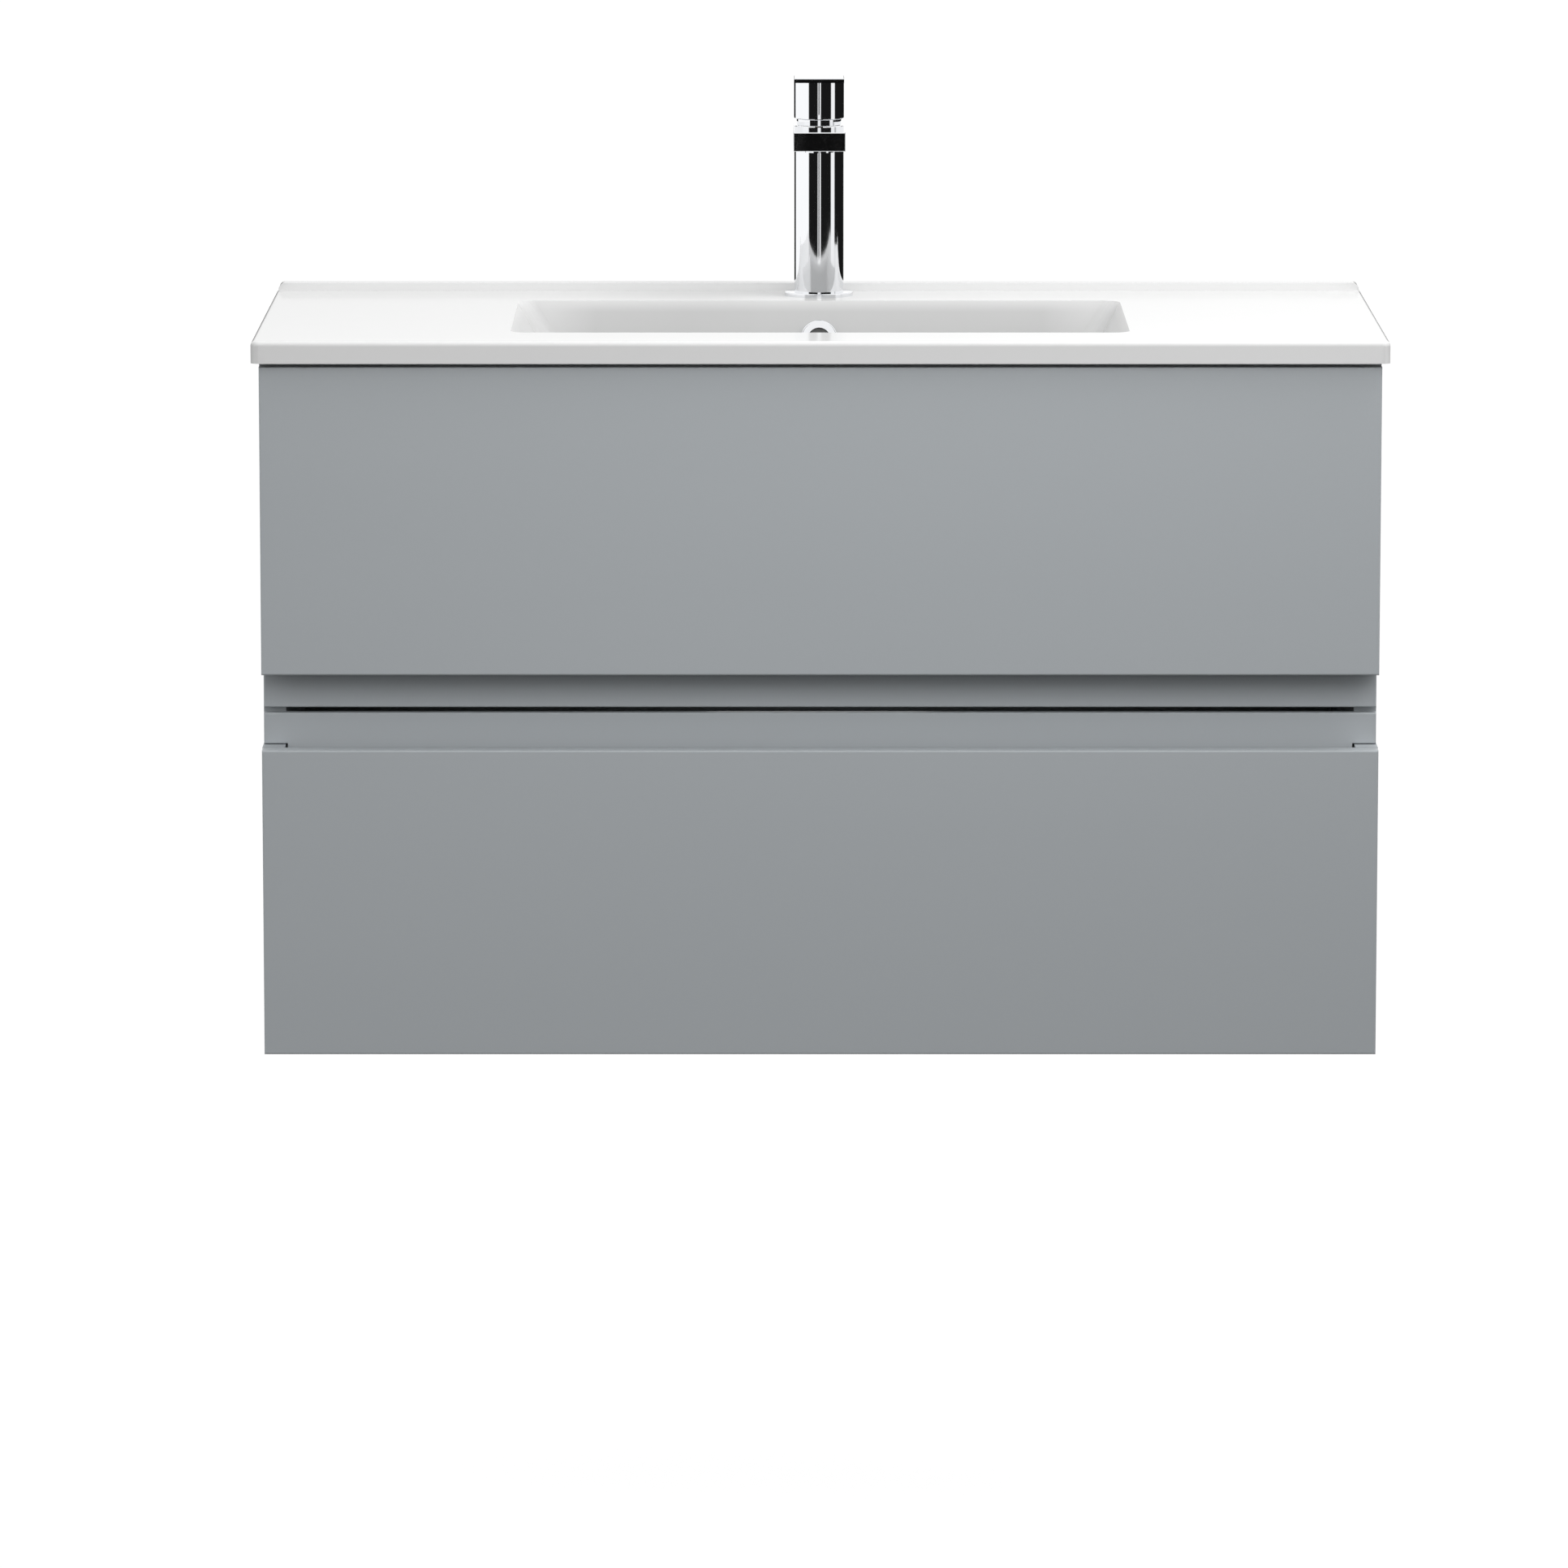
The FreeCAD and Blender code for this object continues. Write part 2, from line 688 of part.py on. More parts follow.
def base_insert():
    """The plug in the foot of the body that takes both inlets and the fixing stud."""
    high = deck + insert_height
    shape = disc(cartridge_radius, deck, high, 0, tap_y)
    for side in (-1, 1):
        shape = shape.cut(disc(inlet_radius, deck, deck + inlet_depth, side * inlet_x, inlet_y))
        shape = shape.cut(disc(waterway_radius, deck, high, side * inlet_x, inlet_y))
    return shape.cut(disc(stud_radius, deck, deck + stud_depth, 0, stud_y))


def cartridge():
    shape = disc(cartridge_radius, cartridge_bottom, spout_top, 0, tap_y)
    return shape.cut(disc(turret_hole, turret_floor, spout_top, 0, tap_y))


def tap_collar():
    shape = ring(collar_radius, turret_hole + 0.5, spout_top, knob_bottom - 0.4, 0, tap_y)
    return rounded(shape, 0.6, lambda p: near(p.z, knob_bottom - 0.4) and math.hypot(p.x, p.y - tap_y) > 12)


def turret():
    """The part of the cartridge that turns, with a slot in which the stem tips."""
    shape = disc(turret_radius, turret_floor + 0.5, spout_top + 2, 0, tap_y)
    slot = box(-stem_half - 0.4, stem_half + 0.4, tap_y - 7.5, tap_y + 7.5,
               turret_floor + 3, spout_top + 2)
    return shape.cut(slot)


def stem():
    return box(-stem_half, stem_half, tap_y - stem_half, tap_y + stem_half,
               turret_floor + 6, knob_top - 6)


def knob():
    """A hollow cap; its rear lower edge is cut back so that it can tip up."""
    shape = disc(knob_radius, knob_bottom, knob_top, 0, tap_y)
    ceiling = knob_top - 4
    shape = shape.cut(disc(knob_radius - knob_wall, knob_bottom, ceiling, 0, tap_y))
    boss = disc(7.5, ceiling - 10, ceiling, 0, tap_y).cut(stem())
    shape = fused(shape, boss)
    relief = box(-30, 30, tap_y - 40, tap_y + 40, pivot_z - 40, knob_bottom + 0.4)
    relief.rotate(V(0, tap_y, pivot_z), V(1, 0, 0), lift_angle)
    return shape.cut(relief).cut(grub_screw())


def grub_screw():
    return rod_y(2.5, tap_y + stem_half, tap_y + knob_radius - 0.8, 0, knob_top - 9)


def lever_plate():
    front = tap_y - lever_front
    shape = u_plate(knob_radius, front, knob_top, knob_top + lever_thickness)
    return rounded(shape, 0.5, lambda p: near(p.z, knob_top + lever_thickness))


def tap_washer():
    """A horseshoe washer that leaves room for the two water pipes."""
    high = deck - deck_plate
    low = high - washer_thickness
    shape = disc(washer_radius, low, high, 0, tap_y)
    shape = shape.cut(box(-13, 13, inlet_y - 6, tap_y + 30, low, high))
    return shape.cut(disc(stud_radius, low, high, 0, stud_y))


export("tap_flange", tap_flange())
export("tap_base_seal", ring(seal_outer, seal_inner, deck, deck + seal_height, 0, tap_y))
export("tap_base_insert", base_insert())
export("tap_body", tap_body())
export("aerator", aerator())
export("cartridge", cartridge())
export("tap_collar", tap_collar())
export("cartridge_turret", turret())
export("handle_stem", stem())
export("handle_knob", knob())
export("handle_lever", lever_plate())
export("handle_grub_screw", grub_screw())
export("tap_stud", disc(stud_radius, deck - 60, deck + stud_depth, 0, stud_y))
export("tap_washer", tap_washer())
nut_top = deck - deck_plate - washer_thickness
export("tap_nut", hexagon(13, nut_top - tap_nut_height, nut_top, 0, stud_y).cut(
    disc(stud_radius, nut_top - tap_nut_height, nut_top, 0, stud_y)))

for node in sorted(volumes):
    print("%-32s %12.1f mm3" % (node, volumes[node]))
print(len(volumes), "nodes")
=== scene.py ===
# %% [markdown]
# A wall-hung vanity: two wide drawers, a white ceramic basin and a chrome mixer tap.
# The boards, the basin, the tap and the runners come in as a fixed frame of finished parts.
# This lesson gives them their surfaces, adds the small fittings that a plain model lacks,
# and lights them as a studio would. Every size is in metres.

# %% Load the frame
import json
import math

import bmesh
import bpy
from mathutils import Matrix, Vector


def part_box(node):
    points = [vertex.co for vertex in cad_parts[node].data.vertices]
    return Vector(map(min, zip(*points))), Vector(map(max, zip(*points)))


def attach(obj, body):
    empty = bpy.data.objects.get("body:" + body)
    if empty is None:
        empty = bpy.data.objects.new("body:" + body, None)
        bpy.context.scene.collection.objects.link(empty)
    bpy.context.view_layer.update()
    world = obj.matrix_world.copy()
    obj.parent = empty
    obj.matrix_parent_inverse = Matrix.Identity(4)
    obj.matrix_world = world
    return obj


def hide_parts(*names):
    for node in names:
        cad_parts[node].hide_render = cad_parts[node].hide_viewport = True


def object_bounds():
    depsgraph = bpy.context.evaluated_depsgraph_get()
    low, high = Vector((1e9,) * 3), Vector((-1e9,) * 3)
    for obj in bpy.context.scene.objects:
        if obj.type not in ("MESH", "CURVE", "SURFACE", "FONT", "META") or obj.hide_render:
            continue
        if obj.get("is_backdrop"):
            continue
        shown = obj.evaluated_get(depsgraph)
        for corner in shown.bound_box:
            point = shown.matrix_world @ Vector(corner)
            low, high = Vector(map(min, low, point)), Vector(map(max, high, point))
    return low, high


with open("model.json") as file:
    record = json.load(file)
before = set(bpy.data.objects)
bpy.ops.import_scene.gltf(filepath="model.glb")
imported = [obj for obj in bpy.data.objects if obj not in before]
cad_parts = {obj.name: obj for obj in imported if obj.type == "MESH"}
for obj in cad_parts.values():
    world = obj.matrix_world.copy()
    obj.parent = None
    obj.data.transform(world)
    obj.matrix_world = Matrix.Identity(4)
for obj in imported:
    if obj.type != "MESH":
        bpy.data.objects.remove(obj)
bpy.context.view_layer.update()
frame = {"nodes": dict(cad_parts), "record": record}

nodes = frame["nodes"]

# %% [markdown]
# Most of the places that this lesson needs are read from the parts themselves.
# The side panels give the cabinet's underside and top, and the basin's visible edge, which
# stands on them, gives the height of the deck.

# %% Landmarks
def middle_axis(low, high):
    """The middle of a box seen from above, at height 0."""
    return Vector(((low.x + high.x) / 2, (low.y + high.y) / 2, 0))


basin_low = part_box("basin")[0]
side_low, side_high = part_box("side_panel_right")
underside = side_low.z
basin_edge = 0.016
deck = side_high.z + basin_edge
print("deck at", round(deck, 4), "underside at", round(underside, 4))

# %% [markdown]
# The camera stands well back with a long lens, so the fronts look almost flat, and it looks
# down by nine degrees, which opens the deck and the bowl to view. A long lens far away is what
# a catalogue photographer uses, because a short lens close up would make the basin flare.

# %% Camera
camera_place = (-0.0259, -6.968, 0.7838)
camera_tilt = math.radians(9.01)
camera_data = bpy.data.cameras.new("studio_camera")
camera = bpy.data.objects.new("studio_camera", camera_data)
bpy.context.scene.collection.objects.link(camera)
bpy.context.scene.camera = camera
camera_data.sensor_width = 36.0
camera_data.lens = 214.8
camera_data.clip_end = 100.0
camera.location = camera_place
camera.rotation_euler = (math.pi / 2 - camera_tilt, 0, 0)
print("camera", [round(v, 3) for v in camera.location])

# %% [markdown]
# The floor, the room's light and every finish are built from shader nodes. One helper makes a
# node, sets it and links it in a single line, which keeps the recipes below short enough to read.

# %% Node helper
def add(tree, kind, inputs=None, **settings):
    """A node with its settings, and its inputs by name: a socket is linked, a value is set."""
    made = tree.nodes.new("ShaderNode" + kind)
    for name, value in settings.items():
        setattr(made, name, value)
    for name, value in (inputs or {}).items():
        if isinstance(value, bpy.types.NodeSocket):
            tree.links.new(value, made.inputs[name])
        else:
            made.inputs[name].default_value = value
    return made


print("node helper ready")

# %% [markdown]
# The floor is a pale sheet well below the cabinet. Only its upper side shows: from below it is
# clear, so it never hides the underside. It also glows a little, which keeps it as pale as the
# backdrop. It stays out of reflections, which leaves the chrome with clean stripes.

# %% Floor
floor_drop = 0.40
floor_half = 9.0
floor_grey = 0.30
floor_strength = 0.80
floor_mesh = bpy.data.meshes.new("studio_floor")
shape = bmesh.new()
bmesh.ops.create_grid(shape, x_segments=1, y_segments=1, size=floor_half)
bmesh.ops.translate(shape, verts=shape.verts, vec=(0, 0, underside - floor_drop))
shape.to_mesh(floor_mesh)
shape.free()
floor = bpy.data.objects.new("studio_floor", floor_mesh)
bpy.context.scene.collection.objects.link(floor)
floor.visible_glossy = False
floor.visible_diffuse = False
floor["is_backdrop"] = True

floor_paint = bpy.data.materials.new("floor_paint")
floor_paint.use_nodes = True
floor_tree = floor_paint.node_tree
floor_tree.nodes.clear()
floor_side = add(floor_tree, "NewGeometry").outputs["Backfacing"]
floor_white = add(floor_tree, "BsdfDiffuse", {"Color": (floor_grey, floor_grey, floor_grey, 1)})
floor_glow = add(floor_tree, "Emission", {"Strength": floor_strength})
floor_pale = add(floor_tree, "AddShader", {0: floor_white.outputs[0], 1: floor_glow.outputs[0]})
floor_clear = add(floor_tree, "BsdfTransparent")
floor_seen = add(floor_tree, "MixShader", {0: floor_side, 1: floor_pale.outputs[0],
                                           2: floor_clear.outputs[0]})
add(floor_tree, "OutputMaterial", {"Surface": floor_seen.outputs[0]})
floor_mesh.materials.append(floor_paint)
print("floor at", round(underside - floor_drop, 3))

# %% [markdown]
# Soft boxes shape the light: a wide one in front, one overhead and to the right, so that level
# surfaces are brighter than upright ones, a weak one low on the left, and one underneath.
# They are kept out of reflections, because a square lamp in the chrome would look like a window.

# %% Helper for lights
def soft_box(name, place, aim, size, power):
    data = bpy.data.lights.new(name, "AREA")
    data.shape = "RECTANGLE"
    data.size, data.size_y = size
    data.energy = power
    lamp = bpy.data.objects.new(name, data)
    lamp.location = place
    lamp.rotation_euler = (Vector(aim) - Vector(place)).to_track_quat("-Z", "Y").to_euler()
    lamp.visible_glossy = False
    lamp.visible_camera = False
    bpy.context.scene.collection.objects.link(lamp)
    print(name, "at", place, "power", power)
    return lamp


# %% [markdown]
# The wide box stands only a little above the deck, so that its light gets into the finger groove.
# The one underneath lights the bottom panel, which would otherwise be nearly black from below.

# %% Soft boxes
under_drop = 0.30
soft_box("key_box", (0.12, -0.92, 0.20), (0.05, -0.35, -0.02), (1.3, 0.35), 1.8)
soft_box("high_box", (1.16, -0.50, 1.50), (-0.20, -0.20, 0.05), (0.9, 0.9), 10.4)
soft_box("low_box", (-0.90, -1.10, -0.35), (-0.35, -0.35, -0.35), (0.6, 0.6), 0.3)
soft_box("under_box", (0.0, -0.17, underside - under_drop), (0.0, -0.17, underside), (0.7, 0.26), 0.7)

# %% [markdown]
# The room itself is white and lit most strongly low down, because light from straight above
# can't get into the groove. A world is nodes too: the direction that a ray leaves in, taken
# apart into X, Y and Z, decides how much light it meets.

# %% Soft light of the room
world = bpy.data.worlds.new("white_room")
bpy.context.scene.world = world
world.use_nodes = True
room = world.node_tree
room.nodes.clear()
horizon_light = 0.96
overhead_light = 0.60
ground_light = 0.01
direction = add(room, "TexCoord").outputs["Generated"]
parts = add(room, "SeparateXYZ", {"Vector": direction})
horizon = add(room, "MapRange", {"Value": parts.outputs["Z"], "From Min": -0.05, "From Max": 0.09,
                                 "To Min": ground_light, "To Max": horizon_light})
overhead = add(room, "MapRange", {"Value": parts.outputs["Z"], "From Min": 0.58, "From Max": 0.72,
                                  "To Max": overhead_light - horizon_light})
sky = add(room, "Math", {0: horizon.outputs[0], 1: overhead.outputs[0]}, operation="ADD")
print("light at the horizon", horizon_light, "overhead", overhead_light, "below", ground_light)

# %% [markdown]
# Polished metal shows only what stands round it, so the room has dark and bright upright bands
# that only mirror-like rays see. They stand in for the black flags and strip lights of a studio.
# Each stop below is an angle round the room and the brightness there. 0 is towards the camera,
# and the angles grow to the right.

# %% Bands round the room
behind = add(room, "Math", {0: parts.outputs["Y"], 1: -1.0}, operation="MULTIPLY")
angle = add(room, "Math", {0: parts.outputs["X"], 1: behind.outputs[0]}, operation="ARCTAN2")
turn = add(room, "MapRange", {"Value": angle.outputs[0], "From Min": -math.pi, "From Max": math.pi})
bands = add(room, "ValToRGB", {"Fac": turn.outputs[0]})
black, white, side_white = 0.01, 1.05, 1.15
band_angles = [(-180, black), (-140, black), (-136, side_white), (-50, side_white), (-47, black),
               (-6.5, black), (-5, white), (7.5, white), (9, black), (57, black),
               (59, white), (77, white), (79, black)]
ramp = bands.color_ramp
for degrees, value in band_angles:
    share = (degrees + 180) / 360
    stop = ramp.elements[0] if degrees == -180 else ramp.elements.new(share)
    stop.position = share
    stop.color = (value, value, value, 1)
ramp.elements[-1].color = (black, black, black, 1)
print("band stops", len(ramp.elements))

# %% [markdown]
# A narrow dark notch towards the camera keeps the bright band from filling the front of the tap,
# but only for rays that point below the horizon. High up the bands end, and mirrors see plain
# white. The bands reach higher towards the camera, which is what the lean below is for.

# %% Notch and top of the bands
notch_half, notch_edge = math.radians(2.2), math.radians(2.6)
notch_dark, top_white = 0.005, 1.08
lean = 0.35
level = add(room, "MapRange", {"Value": parts.outputs["Z"], "From Min": -0.06, "From Max": -0.03})
angle_size = add(room, "Math", {0: angle.outputs[0]}, operation="ABSOLUTE")
ahead = add(room, "MapRange", {"Value": angle_size.outputs[0], "From Min": notch_half,
                               "From Max": notch_edge})
open_ahead = add(room, "Math", {0: level.outputs[0], 1: ahead.outputs[0]}, operation="MAXIMUM")
lit_bands = add(room, "Mix", {"Factor": open_ahead.outputs[0],
                              "A": (notch_dark, notch_dark, notch_dark, 1),
                              "B": bands.outputs["Color"]}, data_type="RGBA")
towards_camera = add(room, "Math", {0: parts.outputs["Y"], 1: 0.0}, operation="MINIMUM")
reach = add(room, "Math", {0: towards_camera.outputs[0], 1: lean, 2: parts.outputs["Z"]},
            operation="MULTIPLY_ADD")
high = add(room, "MapRange", {"Value": reach.outputs[0], "From Min": 0.0, "From Max": 0.08})
seen = add(room, "Mix", {"Factor": high.outputs[0], "A": lit_bands.outputs["Result"],
                         "B": (top_white, top_white, top_white, 1)}, data_type="RGBA")
print("notch half width in degrees", round(math.degrees(notch_half), 1))

# %% [markdown]
# Light Path tells the kinds of ray apart, so one world can be three things: soft light for the
# shading, bands for the mirrors, and a clean white backdrop for the camera.
# The Standard view keeps whites white, where a filmic one would grey the china.

# %% What each kind of ray sees
backdrop_light = 1.05
path = add(room, "LightPath")
soft = add(room, "Background", {"Color": (1, 1, 1, 1), "Strength": sky.outputs[0]})
mirror_room = add(room, "Background", {"Color": seen.outputs["Result"], "Strength": 1.0})
backdrop = add(room, "Background", {"Color": (1, 1, 1, 1), "Strength": backdrop_light})
glossy_mix = add(room, "MixShader", {0: path.outputs["Is Glossy Ray"], 1: soft.outputs[0],
                                     2: mirror_room.outputs[0]})
camera_mix = add(room, "MixShader", {0: path.outputs["Is Camera Ray"], 1: glossy_mix.outputs[0],
                                     2: backdrop.outputs[0]})
add(room, "OutputWorld", {"Surface": camera_mix.outputs[0]})
bpy.context.scene.view_settings.view_transform = "Standard"
print("room nodes", len(room.nodes))

# %% [markdown]
# Every finish below starts from the same few steps: a new material, its Principled shader and
# the position on the part as the pattern's coordinates. Position is in metres, so a noise scale
# of 1000 means grains about a millimetre across, whichever part carries the finish.

# %% Helpers for finishes
def finish_named(name):
    material = bpy.data.materials.new(name)
    material.use_nodes = True
    return material, material.node_tree, material.node_tree.nodes["Principled BSDF"]


def place_on_part(tree, scale=(1, 1, 1)):
    position = add(tree, "TexCoord").outputs["Object"]
    if scale == (1, 1, 1):
        return position
    return add(tree, "Mapping", {"Vector": position, "Scale": scale}).outputs[0]


def noise(tree, position, scale, detail=2.0, roughness=0.5):
    return add(tree, "TexNoise", {"Vector": position, "Scale": scale, "Detail": detail,
                                  "Roughness": roughness}).outputs["Fac"]


def spread(tree, value, low, high, start=0.0, end=1.0):
    """Stretches a 0 to 1 pattern to the range from low to high."""
    return add(tree, "MapRange", {"Value": value, "From Min": start, "From Max": end,
                                  "To Min": low, "To Max": high}).outputs[0]


def two_colours(tree, value, first, second):
    return add(tree, "Mix", {"Factor": value, "A": (*first, 1), "B": (*second, 1)},
               data_type="RGBA").outputs["Result"]


def relief(tree, height, depth, strength=1.0, under=None):
    inputs = {"Height": height, "Distance": depth, "Strength": strength}
    if under is not None:
        inputs["Normal"] = under
    return add(tree, "Bump", inputs).outputs[0]


print("finish helpers ready")

# %% [markdown]
# The drawer fronts are MDF sprayed with a grey satin lacquer. Sprayed lacquer is never quite
# flat: it has a faint orange peel, about two millimetres from crest to crest, and its sheen
# changes a little where the gun passed. Noise gives both, in the bump and in the roughness.

# %% Satin lacquer
arris_radius = 0.0012


def satin_lacquer():
    material, tree, shader = finish_named("satin_grey_lacquer")
    position = place_on_part(tree)
    passes = noise(tree, place_on_part(tree, (0.6, 1, 4)), 2.2, 3)
    peel = noise(tree, position, 520, 2)
    dust = noise(tree, position, 2600, 1)
    tone = two_colours(tree, passes, (0.462, 0.492, 0.514), (0.480, 0.510, 0.532))
    tree.links.new(tone, shader.inputs["Base Color"])
    tree.links.new(spread(tree, passes, 0.34, 0.44), shader.inputs["Roughness"])
    arris = add(tree, "Bevel", {"Radius": arris_radius}, samples=6).outputs[0]
    fine = relief(tree, dust, 0.00002, 0.3, arris)
    tree.links.new(relief(tree, peel, 0.00006, 0.6, fine), shader.inputs["Normal"])
    shader.inputs["IOR"].default_value = 1.48
    print("made", material.name)
    return material


lacquer = satin_lacquer()

# %% [markdown]
# The cabinet itself is chipboard faced with melamine. Its faces carry a fine pressed grain,
# and the rear edges, which meet the wall, are left raw, so the chips show there.
# The raw edge is found from the way the surface faces and how near it is to the wall.

# %% Chips in a raw edge
def chipboard(tree, position):
    """Pale and dark flakes with resin between them, as a cut edge shows."""
    flakes = add(tree, "TexVoronoi", {"Vector": position, "Scale": 420}).outputs["Color"]
    flake = add(tree, "SeparateColor", {"Color": flakes}).outputs[0]
    fibres = noise(tree, position, 1500, 4, 0.7)
    both = add(tree, "Math", {0: flake, 1: fibres}, operation="MULTIPLY").outputs[0]
    return two_colours(tree, spread(tree, both, 0, 1, 0, 0.6), (0.20, 0.13, 0.07), (0.62, 0.46, 0.29))


print("chipboard pattern ready")

# %% [markdown]
# Small masks say where a finish applies. Each gives 1 in one region and 0 outside it, so a
# product of two masks is the region where both hold.

# %% Masks and faced board
def facing(tree, axis, limit=0.9):
    """1 where the surface faces along an axis, either way, and 0 elsewhere."""
    normal = add(tree, "NewGeometry").outputs["True Normal"]
    along = add(tree, "SeparateXYZ", {"Vector": normal}).outputs[axis]
    size = add(tree, "Math", {0: along}, operation="ABSOLUTE").outputs[0]
    return add(tree, "Math", {0: size, 1: limit}, operation="GREATER_THAN").outputs[0]


def past(tree, position, axis, limit):
    """1 where the position along an axis is more than the limit."""
    along = add(tree, "SeparateXYZ", {"Vector": position}).outputs[axis]
    return add(tree, "Math", {0: along, 1: limit}, operation="GREATER_THAN").outputs[0]


def both_true(tree, first, second):
    return add(tree, "Math", {0: first, 1: second}, operation="MULTIPLY").outputs[0]


raw_depth = 0.002


def faced_board():
    material, tree, shader = finish_named("grey_faced_chipboard")
    position = place_on_part(tree)
    grain = noise(tree, position, 1400, 3, 0.6)
    cloud = noise(tree, position, 5, 2)
    grey = two_colours(tree, cloud, (0.455, 0.485, 0.507), (0.474, 0.504, 0.526))
    raw_edge = both_true(tree, facing(tree, "Y"), past(tree, position, "Y", -raw_depth))
    colour = add(tree, "Mix", {"Factor": raw_edge, "A": grey, "B": chipboard(tree, position)},
                 data_type="RGBA").outputs["Result"]
    tree.links.new(colour, shader.inputs["Base Color"])
    rough = add(tree, "Mix", {"Factor": raw_edge, "A": spread(tree, grain, 0.42, 0.56), "B": 0.9})
    tree.links.new(rough.outputs["Result"], shader.inputs["Roughness"])
    tree.links.new(relief(tree, grain, 0.00005, 0.5), shader.inputs["Normal"])
    print("made", material.name)
    return material


board_finish = faced_board()

# %% [markdown]
# Inside, the drawers are faced with a light textile print: a fine cross weave in two greys.
# Wave patterns along the three axes make the threads, and their sum sets the tone at the crossings.

# %% Linen-faced drawer board
def linen_board():
    material, tree, shader = finish_named("linen_faced_board")
    position = place_on_part(tree)
    waves = []
    for axis in ("X", "Y", "Z"):
        wave = add(tree, "TexWave", {"Vector": position, "Scale": 260, "Distortion": 1.2,
                                     "Detail": 2, "Detail Scale": 3}, bands_direction=axis)
        waves.append(wave.outputs["Fac"])
    first = add(tree, "Math", {0: waves[0], 1: waves[2]}, operation="ADD").outputs[0]
    weave = add(tree, "Math", {0: first, 1: waves[1]}, operation="ADD").outputs[0]
    slub = noise(tree, place_on_part(tree, (1, 1, 0.15)), 240, 3, 0.7)
    mixed = add(tree, "Math", {0: spread(tree, weave, 0, 0.7, 0.5, 2.5), 1: slub}, operation="ADD")
    threads = spread(tree, mixed.outputs[0], 0, 1, 0.2, 1.2)
    tree.links.new(two_colours(tree, threads, (0.50, 0.50, 0.49), (0.66, 0.66, 0.65)),
                   shader.inputs["Base Color"])
    shader.inputs["Roughness"].default_value = 0.55
    tree.links.new(relief(tree, threads, 0.00006, 0.4), shader.inputs["Normal"])
    print("made", material.name)
    return material


linen = linen_board()

# %% [markdown]
# The basin is vitreous china with a clear white glaze. Glaze flows as it melts, so a fired deck
# has long, very shallow waves that only show in reflections, and a thin coat over the body.
# Upright faces are painted a greyer white as painted shade, and the sunk bowl is painted darker still
# as painted shade.
# Underneath, the clay is left bare: matt, a little creamy, with fine grog in it.
# The regions come first, each found from a point's place and from the way its surface faces.

# %% Regions of the basin
bowl_half, bowl_fade, basin_fade = 0.165, 0.20, 0.30
front_rim = 0.03
bare_lip = 0.0065
# Painted shade: the bowl is coloured darker below these heights.
bowl_shade_top, bowl_shade_start = deck - 0.001, deck - 0.008


def painted_bowl_shade_region(tree, position, height):
    """The bowl's sunk surfaces, painted darker as painted shade; it fades out towards the ends."""
    sunk = spread(tree, height, 1.0, 0.0, bowl_shade_start, bowl_shade_top)
    across = add(tree, "SeparateXYZ", {"Vector": position}).outputs["X"]
    aside = add(tree, "Math", {0: across}, operation="ABSOLUTE").outputs[0]
    in_width = spread(tree, aside, 1.0, 0.3, bowl_half, bowl_fade)
    in_width = both_true(tree, in_width, add(tree, "Math", {0: aside, 1: basin_fade},
                                             operation="LESS_THAN").outputs[0])
    in_bowl = both_true(tree, in_width, past(tree, position, "Y", basin_low.y + front_rim))
    return both_true(tree, sunk, in_bowl)


def bare_region(tree, upright, height):
    """The underside, where the clay is left without glaze."""
    downward = add(tree, "Math", {0: upright, 1: -0.5}, operation="LESS_THAN").outputs[0]
    below_rim = add(tree, "Math", {0: height, 1: deck - basin_edge + bare_lip},
                    operation="LESS_THAN").outputs[0]
    return both_true(tree, downward, below_rim)


# Prints the height where the painted bowl shade starts.
print("bowl painted darker below", round(bowl_shade_top, 4))

# %% [markdown]
# The level deck is seen at a low slant, where any gloss turns into a mirror, so its gloss is low,
# and so is the gloss of faces that look sideways.

# %% Glazed china
deck_gloss = 0.012


def china_gloss(tree, normal, upright):
    sideways = add(tree, "SeparateXYZ", {"Vector": normal}).outputs["X"]
    sideways = add(tree, "Math", {0: sideways}, operation="ABSOLUTE").outputs[0]
    return add(tree, "Math", {0: spread(tree, sideways, 0.5, 0.0, 0.55, 0.9),
                              1: spread(tree, upright, 0.5, deck_gloss, 0.80, 0.98)},
               operation="MINIMUM").outputs[0]


